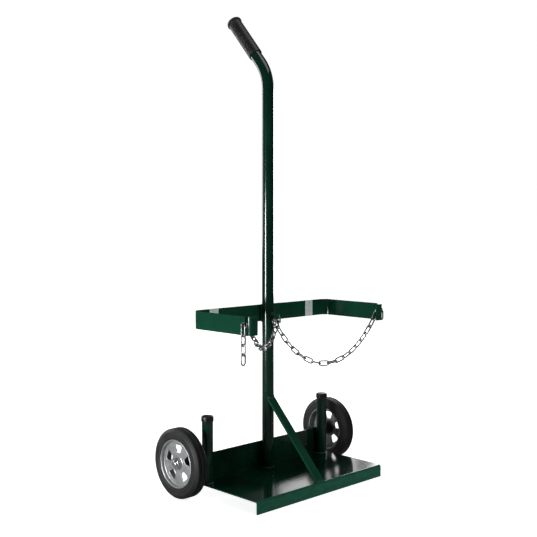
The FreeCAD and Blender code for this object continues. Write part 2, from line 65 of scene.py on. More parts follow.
class Side(Enum):
    """The two sides of the cart, as the sign of their X."""

    LEFT = -1
    RIGHT = 1

    @property
    def word(self) -> str:
        """The side's name as it stands in node and body names."""
        return self.name.lower()

    @property
    def outwards(self) -> Matrix:
        """Turn about Z that points local X away from the cart's middle."""
        return Matrix.Rotation(0.0 if self is Side.RIGHT else math.pi, 4, "Z")


class Tone:
    """A number that a socket carries, which adds Math nodes when it is used in an expression."""

    def __init__(self, sheet: "Sheet", socket: Socket) -> None:
        """Wrap an output socket of a sheet."""
        self.sheet = sheet
        self.socket = socket

    def _math(self, operation: str, *terms: Any) -> "Tone":
        """Result of a Math node on one or two tones or numbers."""
        return self.sheet.tone("Math", dict(enumerate(terms)), operation=operation)

    def __add__(self, other: Any) -> "Tone":
        """Sum of two terms."""
        return self._math("ADD", self, other)

    __radd__ = __add__

    def __sub__(self, other: Any) -> "Tone":
        """Difference of two terms."""
        return self._math("SUBTRACT", self, other)

    def __rsub__(self, other: Any) -> "Tone":
        """Difference from a number."""
        return self._math("SUBTRACT", other, self)

    def __mul__(self, other: Any) -> "Tone":
        """Product of two terms."""
        return self._math("MULTIPLY", self, other)

    __rmul__ = __mul__

    def __abs__(self) -> "Tone":
        """Size without its sign."""
        return self._math("ABSOLUTE", self)

    def over(self, low: float, high: float, least: float = 0.0, most: float = 1.0) -> "Tone":
        """Smooth rise from the least at the low value to the most at the high one."""
        limits = {"Value": self, "From Min": low, "From Max": high, "To Min": least, "To Max": most}
        return self.sheet.tone("MapRange", limits, interpolation_type="SMOOTHSTEP")


class Sheet:
    """A node tree with one method for any node, and short forms of the patterns that are used again."""

    def __init__(self, tree: bpy.types.NodeTree) -> None:
        """Take over an existing tree."""
        self.tree = tree

    def add(self, kind: str, sockets: dict[Any, Any] | None = None, **settings: Any) -> Any:
        """Node of any type, with its settings made before its sockets are filled.

        Args:
            kind: the node's type name.
            sockets: values, output sockets or tones by the input's name or number.
            settings: its properties.
        Returns:
            The new node.
        """
        node = self.tree.nodes.new(kind)
        for name, value in settings.items():
            setattr(node, name, value)
        for name, value in (sockets or {}).items():
            self.feed(node.inputs[name], value)
        return node

    def feed(self, socket: Socket, value: Any) -> None:
        """Link or set one input socket.

        Args:
            socket: the input.
            value: a tone, an output socket or a plain value.
        """
        if isinstance(value, Tone):
            value = value.socket
        if isinstance(value, Socket):
            self.tree.links.new(value, socket)
        else:
            socket.default_value = value

    def geometry(self, kind: str, sockets: dict[str, Any] | None = None, **settings: Any) -> Socket:
        """First output of a new geometry node."""
        return self.add("GeometryNode" + kind, sockets, **settings).outputs[0]

    def shader(self, kind: str, sockets: dict[Any, Any] | None = None, **settings: Any) -> Any:
        """Outputs of a new shader node."""
        return self.add("ShaderNode" + kind, sockets, **settings).outputs

    def tone(self, kind: str, sockets: dict[Any, Any], **settings: Any) -> Tone:
        """Number in the first output of a new shader node."""
        return Tone(self, self.shader(kind, sockets, **settings)[0])

    def measure(self, operation: str, *vectors: Any) -> Tone:
        """Number that a Vector Math node makes of its vectors."""
        return Tone(self, self.shader("VectorMath", dict(enumerate(vectors)), operation=operation)["Value"])

    def place(self, stretch: Sequence[float] = (1, 1, 1)) -> Socket:
        """Object coordinates in metres, times a factor along each axis."""
        source = self.shader("TexCoord")["Object"]
        return self.shader("Mapping", {"Vector": source, "Scale": tuple(stretch)})[0]

    def axes(self, vector: Socket) -> list[Tone]:
        """The three parts of a vector."""
        return [Tone(self, part) for part in self.shader("SeparateXYZ", {0: vector})]

    def mix(self, amount: Tone, first: Any, second: Any) -> Socket:
        """Blend of two colours.

        Args:
            amount: tone from 0 to 1.
            first: colour or colour socket at 0.
            second: colour or colour socket at 1.
        Returns:
            The colour socket.
        """
        node = self.add("ShaderNodeMix", {"Factor": amount}, data_type="RGBA")
        colours = [socket for socket in node.inputs if socket.type == "RGBA"]
        for socket, colour in zip(colours, (first, second)):
            self.feed(socket, (*colour, 1.0) if isinstance(colour, tuple) else colour)
        return next(socket for socket in node.outputs if socket.type == "RGBA")

    def bump(self, height: Tone, depth: float) -> Socket:
        """Normal raised by a tone, where 1 stands for a depth in metres."""
        return self.shader("Bump", {"Strength": 1.0, "Distance": depth, "Height": height})[0]


@dataclass(frozen=True)
class Grain:
    """A noise in Object coordinates: its waves, the part of its range that counts, and what that becomes."""

    per_metre: float
    detail: float = 2.0
    low: float = 0.0
    high: float = 1.0
    least: float = 0.0
    most: float = 1.0
    stretch: Sequence[float] = (1, 1, 1)

    def raw(self, sheet: Sheet) -> Tone:
        """The noise itself, about one half."""
        sockets = {"Vector": sheet.place(self.stretch), "Scale": self.per_metre, "Detail": self.detail}
        return sheet.tone("TexNoise", sockets)

    def on(self, sheet: Sheet) -> Tone:
        """The noise as a smooth rise over its range, from its least to its most."""
        return self.raw(sheet).over(self.low, self.high, self.least, self.most)


@dataclass(frozen=True)
class Finish:
    """What every finish has: a name and a way to lay its pattern."""

    name: str

    def make(self) -> Material:
        """Material with the finish's own nodes.

        Returns:
            The new material.
        """
        material = bpy.data.materials.new(self.name)
        material.use_nodes = True
        sheet = Sheet(material.node_tree)
        surface = material.node_tree.nodes["Principled BSDF"]
        for socket, value in self.lay(sheet).items():
            sheet.feed(surface.inputs[socket], value)
        return material

    def lay(self, sheet: Sheet) -> dict[str, Any]:
        """Values and sockets by the surface shader's input."""
        raise NotImplementedError


@dataclass(frozen=True)
class Enamel(Finish):
    """Gloss enamel with a faint orange peel, thin film colour and scuffs where things rub."""

    deep: Colour = (0.0032, 0.0360, 0.0195)
    film: Colour = (0.0052, 0.0480, 0.0270)
    scuffed: float = 0.15
    gloss: float = 0.12
    relief: float = 0.00002
    shine: float = 0.35
    cloud: Grain = Grain(9.0, 4.0, 0.35, 0.7)
    peel: Grain = Grain(420.0, 1.0)
    scratch: Grain = Grain(30.0, 6.0, 0.62, 0.78, stretch=(1.0, 6.0, 1.0))
    dust: Grain = Grain(3.0, 8.0, 0.5, 0.75, most=0.06)

    def lay(self, sheet: Sheet) -> dict[str, Any]:
        """Colour drifts softly, the peel bumps the gloss, and scuffs dull it.

        Args:
            sheet: the material's nodes.
        Returns:
            Values by the shader's input.
        """
        return {
            "Base Color": sheet.mix(self.cloud.on(sheet), self.deep, self.film),
            "Roughness": self.gloss + self.dust.on(sheet) + self.scratch.on(sheet) * self.scuffed,
            "Normal": sheet.bump(self.peel.raw(sheet), self.relief),
            "Specular IOR Level": self.shine,
        }


@dataclass(frozen=True)
class TrayEnamel(Enamel):
    """The deck's enamel, with a painted light on the front lip and a painted shade inside the tray."""

    # A paler green painted on the front lip as painted light, and a near black painted in the tray as
    # painted shade.
    rubbed: Colour = (0.0090, 0.0800, 0.0480)
    grime: Colour = (0.0012, 0.0060, 0.0038)
    lip: Point2 = (-0.172, -0.168)
    floor: Point2 = (0.0302, 0.0316)
    wall: Point2 = (0.0471, 0.0481)
    # Patches in the tray's painted shade and in the lip's painted light.
    soil: Grain = Grain(14.0, 5.0, 0.3, 0.7, 0.45, 0.95)
    rub: Grain = Grain(40.0, 4.0, 0.35, 0.65, 0.6, 1.0, (1.0, 1.0, 3.0))

    def lay(self, sheet: Sheet) -> dict[str, Any]:
        """The plain enamel with the lip's painted light and the tray's painted shade laid over its colour.

        Args:
            sheet: the material's nodes.
        Returns:
            Values by the shader's input.
        """
        sockets = super().lay(sheet)
        _, back, height = sheet.axes(sheet.place())
        # A painted light on the front lip, and a painted shade on the tray's floor and inner wall.
        front = 1 - back.over(*self.lip)
        inside = height.over(*self.floor) * (1 - front) * (1 - back.over(*self.wall))
        dark = sheet.mix(inside * self.soil.on(sheet), sockets["Base Color"], self.grime)
        return sockets | {"Base Color": sheet.mix(front * self.rub.on(sheet), dark, self.rubbed)}


@dataclass(frozen=True)
class Rubber(Finish):
    """Black rubber or vinyl with a fine grain and a little grey bloom."""

    black: Colour = (0.0045, 0.0045, 0.0048)
    bloom: Colour = (0.018, 0.018, 0.019)
    gloss: float = 0.5
    grain: float = 900.0
    dulled: float = 0.18
    relief: float = 0.00008
    shine: float = 0.4
    patches: Grain = Grain(22.0, 6.0, 0.4, 0.8)

    def lay(self, sheet: Sheet) -> dict[str, Any]:
        """Bloom greys the black in patches, and the grain breaks the gloss.

        Args:
            sheet: the material's nodes.
        Returns:
            Values by the shader's input.
        """
        bloom = self.patches.on(sheet)
        return {
            "Base Color": sheet.mix(bloom, self.black, self.bloom),
            "Roughness": self.gloss + bloom * self.dulled,
            "Normal": sheet.bump(Grain(self.grain).raw(sheet), self.relief),
            "Specular IOR Level": self.shine,
        }


@dataclass(frozen=True)
class Plating(Finish):
    """Bright metal with soft spangle, fine drawing lines and dull spots."""

    bright: Colour = (0.72, 0.73, 0.74)
    dull: Colour = (0.42, 0.43, 0.45)
    gloss: float = 0.22
    lines: Sequence[float] = (1.0, 1.0, 1.0)
    fineness: float = 600.0
    lined: float = 0.08
    spotted: float = 0.12
    relief: float = 0.00003
    spangle: Grain = Grain(70.0, 3.0, 0.35, 0.7)
    spots: Grain = Grain(18.0, 5.0, 0.55, 0.75)

    def lay(self, sheet: Sheet) -> dict[str, Any]:
        """Spangle and spots mix the two greys, and the lines bump and roughen the metal.

        Args:
            sheet: the material's nodes.
        Returns:
            Values by the shader's input.
        """
        drawn = Grain(self.fineness, stretch=self.lines).raw(sheet)
        spots = self.spots.on(sheet)
        return {
            "Base Color": sheet.mix((self.spangle.on(sheet) + spots) * 0.5, self.bright, self.dull),
            "Metallic": 1.0,
            "Roughness": self.gloss + spots * self.spotted + drawn * self.lined,
            "Normal": sheet.bump(drawn, self.relief),
        }


@dataclass(frozen=True)
class HubPlating(Plating):
    """The hubs' plating: bright outside, with a painted shade on the faces towards the deck and a darker
    painted shade round the axle.
    """

    # A grey painted on the faces towards the deck as painted shade, and a near black painted round the axle
    # as a darker painted shade.
    soil: Colour = (0.16, 0.16, 0.165)
    grease: Colour = (0.010, 0.010, 0.011)
    web: Point2 = (0.0050, 0.0060)
    greased: Point2 = (0.022, 0.034)
    ragged: float = 0.012
    soil_rough: float = 0.12
    less_metal: float = 0.7
    smears: Grain = Grain(60.0, 4.0)
    patches: Grain = Grain(26.0, 5.0, 0.35, 0.65, 0.5, 0.9)

    def lay(self, sheet: Sheet) -> dict[str, Any]:
        """The plain plating with the grey and the near black painted shades laid over its colour.

        Args:
            sheet: the material's nodes.
        Returns:
            Values by the shader's input.
        """
        sockets = super().lay(sheet)
        hub = middle("right_tyre")
        across = abs(sheet.axes(sheet.place())[0])
        inside = 1 - across.over(hub.x + self.web[0], hub.x + self.web[1])
        reach = sheet.measure("DISTANCE", sheet.place((0, 1, 1)), (0.0, hub.y, hub.z))
        # The near black painted shade round the axle, with a ragged edge, and the grey painted shade in
        # patches on the inner faces.
        near = inside * (1 - (reach + self.smears.raw(sheet) * self.ragged).over(*self.greased))
        shaded = sheet.mix(inside * self.patches.on(sheet), sockets["Base Color"], self.soil)
        return sockets | {
            "Base Color": sheet.mix(near, shaded, self.grease),
            "Metallic": 1 - near * self.less_metal,
            "Roughness": sockets["Roughness"] + inside * self.soil_rough,
        }


@dataclass(frozen=True)
class PaleFilm(Finish):
    """Blank pale film with a faint mottle."""

    pale: Colour = (0.60, 0.67, 0.64)
    shade: Colour = (0.48, 0.56, 0.52)
    gloss: float = 0.35
    dulled: float = 0.1
    relief: float = 0.00002
    mottle: Grain = Grain(120.0, 3.0, 0.3, 0.75)

    def lay(self, sheet: Sheet) -> dict[str, Any]:
        """Soft mottle and a satin face.

        Args:
            sheet: the material's nodes.
        Returns:
            Values by the shader's input.
        """
        mottle = self.mottle.raw(sheet)
        return {
            "Base Color": sheet.mix(self.mottle.on(sheet), self.pale, self.shade),
            "Roughness": self.gloss + mottle * self.dulled,
            "Normal": sheet.bump(mottle, self.relief),
        }


@dataclass(frozen=True)
class PaleFloor(Finish):
    """Floor that glows white to the camera, less so near the cart, and lights the cart from below."""

    dark: Colour = (0.3, 0.3, 0.3)
    pale: Colour = (0.9, 0.9, 0.9)
    rough: float = 0.9
    near: float = 0.75
    fade: Point2 = (0.5, 1.6)
    bounce: float = 0.5

    def lay(self, sheet: Sheet) -> dict[str, Any]:
        """One brightness for the camera, and another for the light that the floor gives.

        Args:
            sheet: the material's nodes.
        Returns:
            Values by the shader's input.
        """
        rays = sheet.shader("LightPath")
        seen, soft = Tone(sheet, rays["Is Camera Ray"]), Tone(sheet, rays["Is Diffuse Ray"])
        white = sheet.measure("LENGTH", sheet.place()).over(*self.fade, self.near)
        return {
            "Base Color": sheet.mix(seen, self.dark, self.pale),
            "Roughness": self.rough,
            "Specular IOR Level": 0.0,
            "Emission Strength": 1.0,
            "Emission Color": seen * white + soft * self.bounce,
        }


def rounded(corners: Sequence[Point3], steps: int = 5) -> list[Point2]:
    """Closed outline with a curve at each corner.

    Args:
        corners: place along the axis, radius, and the corner's own radius.
        steps: straight pieces in each curve.
    Returns:
        The outline's points.
    """
    outline: list[Point2] = []
    for n, (x, r, bend) in enumerate(corners):
        here = Vector((x, r))
        before = (Vector(corners[n - 1][:2]) - here).normalized()
        after = (Vector(corners[(n + 1) % len(corners)][:2]) - here).normalized()
        half = math.acos(max(-1.0, min(1.0, before.dot(after)))) / 2
        if bend <= 0 or half > math.pi / 2 - STRAIGHT:
            outline.append((x, r))
            continue
        reach = bend / math.tan(half)
        for step in range(steps + 1):
            t = step / steps
            a, b = here + before * reach * (1 - t), here + after * reach * t
            outline.append(tuple(a.lerp(b, t)))
    return outline


def turned(name: str, outline: Sequence[Point2], poses: Iterable[Matrix], steps: int) -> Piece:
    """One piece of one or more alike solids of revolution about local X.

    Args:
        name: the piece's name.
        outline: closed outline of place along the axis and radius.
        poses: where the local frame of each solid stands on the cart.
        steps: facets round the turn.
    Returns:
        The new object, with its place in its mesh.
    """
    shell = bmesh.new()
    for pose in poses:
        rings = []
        for step in range(steps):
            angle = 2 * math.pi * step / steps
            cos, sin = math.cos(angle), math.sin(angle)
            rings.append([shell.verts.new(pose @ Vector((x, r * cos, r * sin))) for x, r in outline])
        for n, here in enumerate(rings):
            following = rings[(n + 1) % steps]
            for k in range(len(here)):
                m = (k + 1) % len(here)
                shell.faces.new((here[k], here[m], following[m], following[k]))
    bmesh.ops.remove_doubles(shell, verts=shell.verts, dist=MERGE)
    bmesh.ops.dissolve_degenerate(shell, edges=shell.edges, dist=MERGE / 10)
    bmesh.ops.delete(shell, geom=[edge for edge in shell.edges if edge.is_wire], context="EDGES")
    bmesh.ops.recalc_face_normals(shell, faces=shell.faces)
    return from_bmesh(name, shell)


def from_bmesh(name: str, shell: bmesh.types.BMesh, crease: float = 40.0) -> Piece:
    """Object of a finished shell, smooth but for its sharp edges.

    Args:
        name: the object's name.
        shell: the mesh, which is freed.
        crease: angle in degrees beyond which an edge stays sharp.
    Returns:
        The new object.
    """
    mesh = bpy.data.meshes.new(name)
    for face in shell.faces:
        face.smooth = True
    for edge in shell.edges:
        edge.smooth = edge.is_manifold and edge.calc_face_angle(0.0) < math.radians(crease)
    shell.to_mesh(mesh)
    shell.free()
    made = bpy.data.objects.new(name, mesh)
    bpy.context.collection.objects.link(made)
    return made


def wear(made: Piece, material: Material, body: str) -> None:
    """Give a new piece its finish and the body that it rides on.

    Args:
        made: the piece.
        material: its finish.
        body: the body's name.
    """
    made.data.materials.clear()
    made.data.materials.append(material)
    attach(made, body)
    log.info("%s rides on %s", made.name, body)


class NodeRig:
    """A geometry node tree with named inputs, which is run on a mesh and leaves a plain mesh."""

    def __init__(self, name: str, numbers: Sequence[str], counts: Sequence[str] = ()) -> None:
        """Make an empty tree that takes a geometry, the named inputs and a material.

        Args:
            name: the tree's name.
            numbers: names of the inputs that are numbers.
            counts: names of the inputs that are whole numbers.
        """
        self.tree = bpy.data.node_groups.new(name, "GeometryNodeTree")
        self.sheet = Sheet(self.tree)
        kinds = dict.fromkeys(counts, "Int") | dict.fromkeys(numbers, "Float") | {"Material": "Material"}
        face = self.tree.interface
        face.new_socket("Geometry", in_out="INPUT", socket_type="NodeSocketGeometry")
        self.keys = {key: face.new_socket(key, in_out="INPUT", socket_type="NodeSocket" + kind).identifier
                     for key, kind in kinds.items()}
        face.new_socket("Geometry", in_out="OUTPUT", socket_type="NodeSocketGeometry")
        self.inputs = self.sheet.add("NodeGroupInput").outputs

    def close(self, geometry: Socket) -> None:
        """End the tree: real copies, smooth faces, the material, and the output.

        Args:
            geometry: what the tree has made so far.
        """
        real = self.sheet.geometry("RealizeInstances", {"Geometry": geometry})
        smooth = self.sheet.geometry("SetShadeSmooth", {"Geometry": real})
        done = self.sheet.geometry("SetMaterial", {"Geometry": smooth, "Material": self.inputs["Material"]})
        self.sheet.add("NodeGroupOutput", {"Geometry": done})

    def run(self, name: str, mesh: bpy.types.Mesh, **values: Any) -> Piece:
        """Plain object that the tree makes of a mesh.

        Args:
            name: the object's name.
            mesh: points, a path or a solid for the tree.
            values: the tree's inputs by name.
        Returns:
            The object, with no modifier left.
        """
        made = bpy.data.objects.new(name, mesh)
        bpy.context.collection.objects.link(made)
        rig = made.modifiers.new("rig", "NODES")
        rig.node_group = self.tree
        for key, value in values.items():
            rig[self.keys[key]] = value
        state = made.evaluated_get(bpy.context.evaluated_depsgraph_get())
        plain = bpy.data.meshes.new_from_object(state)
        made.modifiers.clear()
        made.data = plain
        made.data.name = name
        return made


def path_mesh(name: str, runs: Iterable[Sequence[Vector]], closed: bool = False) -> bpy.types.Mesh:
    """Mesh of bare edges along one or more runs of points, or of bare points where a run has one.

    Args:
        name: the mesh's name.
        runs: the points of each run.
        closed: whether each run ends where it starts.
    Returns:
        The new mesh.
    """
    points: list[Vector] = []
    edges: list[tuple[int, int]] = []
    for run in runs:
        base = len(points)
        points.extend(run)
        edges.extend((base + n, base + n + 1) for n in range(len(run) - 1))
        if closed:
            edges.append((base + len(run) - 1, base))
    mesh = bpy.data.meshes.new(name)
    mesh.from_pydata([tuple(point) for point in points], edges, [])
    return mesh


def ring(centre: Vector, radius: float, normal: Vector, steps: int = 48) -> list[Vector]:
    """Points round a circle.

    Args:
        centre: the circle's middle.
        radius: its radius.
        normal: the direction that it faces.
        steps: how many points.
    Returns:
        The points in order.
    """
    turn = normal.to_track_quat("Z", "Y")
    angles = [2 * math.pi * n / steps for n in range(steps)]
    return [centre + turn @ Vector((radius * math.cos(a), radius * math.sin(a), 0)) for a in angles]


def middle(node: str) -> Vector:
    """Centre of a CAD node's box."""
    low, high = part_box(node)
    return (Vector(low) + Vector(high)) / 2


@dataclass
class Palette:
    """The cart's finishes as materials, each made once."""

    green: Material = field(default_factory=Enamel("green_enamel").make)
    # The tubes get a darker copy of the green enamel, as painted shade.
    tube_green: Material = field(default_factory=Enamel(
        "tube_enamel", (0.0015, 0.0150, 0.0085), (0.0024, 0.0220, 0.0125)).make)
    deck_green: Material = field(default_factory=TrayEnamel("tray_enamel", scuffed=0.25).make)
    tyre: Material = field(default_factory=Rubber("black_tyre", gloss=0.55, grain=500.0).make)
    grip: Material = field(default_factory=Rubber("grip_rubber", gloss=0.45).make)
    vinyl: Material = field(default_factory=Rubber("cap_vinyl", gloss=0.3, grain=1200.0).make)
    hub: Material = field(default_factory=HubPlating(
        "hub_plating", (0.56, 0.58, 0.585), (0.32, 0.335, 0.34), 0.38).make)
    axle: Material = field(default_factory=Plating(
        "bright_axle", (0.50, 0.51, 0.52), (0.30, 0.30, 0.31), 0.3, (0.05, 1.0, 1.0)).make)
    zinc: Material = field(default_factory=Plating("bright_zinc", gloss=0.2).make)
    chain: Material = field(default_factory=Plating(
        "chain_zinc", (0.30, 0.30, 0.31), (0.13, 0.13, 0.14), 0.3).make)
    film: Material = field(default_factory=PaleFilm("pale_film").make)


@dataclass
class FrameDress:
    """Finishes on the frame's solids, with the weld beads and blank strips that sit on them."""

    palette: Palette
    bead: float = 0.0022
    bead_step: float = 0.0014
    bead_sizes: Point2 = (0.85, 1.1)
    bead_seed: int = 7
    bead_segments: int = 8
    bead_rings: int = 6
    eye_points: int = 16
    saddle_points: int = 13
    seam_spread: float = 0.55
    strip_width: float = 0.030
    strip_place: float = 0.178
    strip_thickness: float = 0.0003
    weld_gap: float = 0.0002

    def coat(self) -> None:
        """Assign a finish to every solid that stays visible."""
        coats = {
            self.palette.green: ("brace", "cradle_strap", "axle_brackets", "chain_eye"),
            self.palette.tube_green: ("post", "left_upright", "right_upright"),
            self.palette.deck_green: ("deck",),
            self.palette.axle: ("axle", "axle_spacers"),
            self.palette.zinc: ("axle_washers",),
        }
        for material, nodes in coats.items():
            for node in nodes:
                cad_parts[node].material_slots[0].material = material

    def weld_rig(self) -> NodeRig:
        """Tree that lays overlapping beads along a path.

        Returns:
            The rig.
        """
        rig = NodeRig("weld_beads", ("Step", "Bead"))
        sheet, given = rig.sheet, rig.inputs
        curve = sheet.geometry("MeshToCurve", {"Mesh": given["Geometry"]})
        points = sheet.geometry("ResampleCurve", {"Curve": curve, "Length": given["Step"]}, mode="LENGTH")
        ball = {"Segments": self.bead_segments, "Rings": self.bead_rings, "Radius": given["Bead"]}
        bead = sheet.geometry("MeshUVSphere", ball)
        sizes = {2: self.bead_sizes[0], 3: self.bead_sizes[1], "Seed": self.bead_seed}
        size = sheet.add("FunctionNodeRandomValue", sizes, data_type="FLOAT").outputs[1]
        rig.close(sheet.geometry("InstanceOnPoints", {"Points": points, "Instance": bead, "Scale": size}))
        return rig

    def weld(self) -> None:
        """Beads round the tubes' feet, along the brace and strap, and at the eye and axle brackets."""
        rig = self.weld_rig()
        up, front = Vector((0, 0, 1)), Vector((0, -1, 0))
        loops, seams = [], []
        for node in ("post", "left_upright", "right_upright"):
            low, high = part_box(node)
            radius = (high[0] - low[0]) / 2
            loops.append(ring(Vector(((low[0] + high[0]) / 2, low[1] + radius, low[2])), radius, up))
        post_low, post_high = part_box("post")
        post_radius = (post_high[0] - post_low[0]) / 2
        axis_y = post_low[1] + post_radius
        eye_low, eye_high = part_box("chain_eye")
        wire = (eye_high[0] - eye_low[0]) / 2
        for height in (eye_low[2] + wire, eye_high[2] - wire):
            loops.append(ring(Vector((0, eye_high[1], height)), wire, front, self.eye_points))
        brace_low, brace_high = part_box("brace")
        half = (brace_high[0] - brace_low[0]) / 2
        foot = Vector((0, brace_low[1], brace_low[2]))
        seams.append([foot + Vector((-half, 0, 0)), foot + Vector((half, 0, 0))])
        shoulder = axis_y - math.sqrt(post_radius ** 2 - half ** 2)
        slope = (brace_high[2] - brace_low[2]) / (shoulder - brace_low[1])
        saddle = []
        for n in range(self.saddle_points):
            x = half * (2 * n / (self.saddle_points - 1) - 1)
            y = axis_y - math.sqrt(post_radius ** 2 - x ** 2)
            saddle.append(Vector((x, y, brace_low[2] + slope * (y - brace_low[1]))))
        seams.append(saddle)
        strap_low, strap_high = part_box("cradle_strap")
        spread = post_radius * self.seam_spread
        cleft = axis_y + (post_radius + math.sqrt(post_radius ** 2 - spread ** 2)) / 2
        for side in Side:
            x = side.value * spread
            seams.append([Vector((x, cleft, height)) for height in (strap_low[2], strap_high[2])])
        bracket_low, bracket_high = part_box("axle_brackets")
        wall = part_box("deck")[1][1]
        for side in Side:
            x = side.value * bracket_high[0]
            seams.append([Vector((x, wall, height)) for height in (bracket_low[2], bracket_high[2])])
        for name, runs, closed in (("weld_rings", loops, True), ("weld_seams", seams, False)):
            path = path_mesh(name, runs, closed)
            made = rig.run(name, path, Step=self.bead_step, Bead=self.bead, Material=self.palette.green)
            wear(made, self.palette.green, "frame")

    def strips(self) -> None:
        """Blank pale strips across the back bar of the cradle."""
        low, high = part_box("cradle_strap")
        post_low, post_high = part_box("post")
        face = post_low[1] + (post_high[0] - post_low[0]) + self.weld_gap
        y, z = face - self.strip_thickness / 2, (low[2] + high[2]) / 2
        size = Matrix.Diagonal((self.strip_width, self.strip_thickness, high[2] - low[2], 1.0))
        shell = bmesh.new()
        for side in Side:
            place = Matrix.Translation((side.value * self.strip_place, y, z))
            bmesh.ops.create_cube(shell, size=1.0, matrix=place @ size)
        wear(from_bmesh("blank_strips", shell), self.palette.film, "frame")


@dataclass
class GripDress:
    """Ribbed rubber sleeve on the handle."""

    palette: Palette
    angle: float = math.radians(41)
    length: float = 0.135
    sleeve: float = 0.0185
    bore: float = 0.0160
    flange: float = 0.0210
    flange_length: float = 0.009
    solid_edge: float = 0.003
    edge: float = 0.001
    step_round: float = 0.0006
    end_round: float = 0.0060
    end_wall: float = 0.004
    facets: int = 64
    ribs: int = 14
    rib_wire: float = 0.0021
    rib_sunk: float = 0.0007
    rib_margins: Point2 = (0.007, 0.005)
    rib_facets: int = 48
    wire_facets: int = 10

    def build(self) -> None:
        """Sleeve with a closed, thicker end, and rings along it."""
        _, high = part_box("handle_grip")
        sin, cos = math.sin(self.angle), math.cos(self.angle)
        along = Vector((0, sin, cos))
        back = self.flange * cos - self.solid_edge * sin
        rise = (self.flange - self.solid_edge) * sin
        start = Vector((0, high[1] - back, high[2] - rise)) - along * self.length
        pose = Matrix.Translation(start) @ along.to_track_quat("X", "Z").to_matrix().to_4x4()
        step, floor = self.length - self.flange_length, self.length - self.end_wall
        outline = rounded([
            (0.0, self.bore, 0.0),
            (0.0, self.sleeve, self.edge),
            (step, self.sleeve, self.step_round),
            (step + self.edge, self.flange, self.edge),
            (self.length, self.flange, self.end_round),
            (self.length, 0.0, 0.0),
            (floor, 0.0, 0.0),
            (floor, self.bore, 0.0),
        ])
        sleeve = turned("grip_sleeve", outline, [pose], self.facets)
        wear(sleeve, self.palette.grip, "frame")
        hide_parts("handle_grip")
        first, last = start + along * self.rib_margins[0], start + along * (step - self.rib_margins[1])
        spots = path_mesh("grip_ribs", ([first.lerp(last, n / (self.ribs - 1))] for n in range(self.ribs)))
        ribs = self.rib_rig().run("grip_ribs", spots, Radius=self.sleeve - self.rib_sunk,
                                  Wire=self.rib_wire / 2, Lean=-self.angle, Material=self.palette.grip)
        wear(ribs, self.palette.grip, "frame")

    def rib_rig(self) -> NodeRig:
        """Tree that sets a leaning ring on each point.

        Returns:
            The rig.
        """
        rig = NodeRig("grip_rings", ("Radius", "Wire", "Lean"))
        sheet, given = rig.sheet, rig.inputs
        circle = "CurvePrimitiveCircle"
        path = sheet.geometry(circle, {"Resolution": self.rib_facets, "Radius": given["Radius"]})
        section = sheet.geometry(circle, {"Resolution": self.wire_facets, "Radius": given["Wire"]})
        hoop = sheet.geometry("CurveToMesh", {"Curve": path, "Profile Curve": section})
        turn = sheet.shader("CombineXYZ", {"X": given["Lean"]})[0]
        hoops = {"Points": given["Geometry"], "Instance": hoop, "Rotation": turn}
        rig.close(sheet.geometry("InstanceOnPoints", hoops))
        return rig


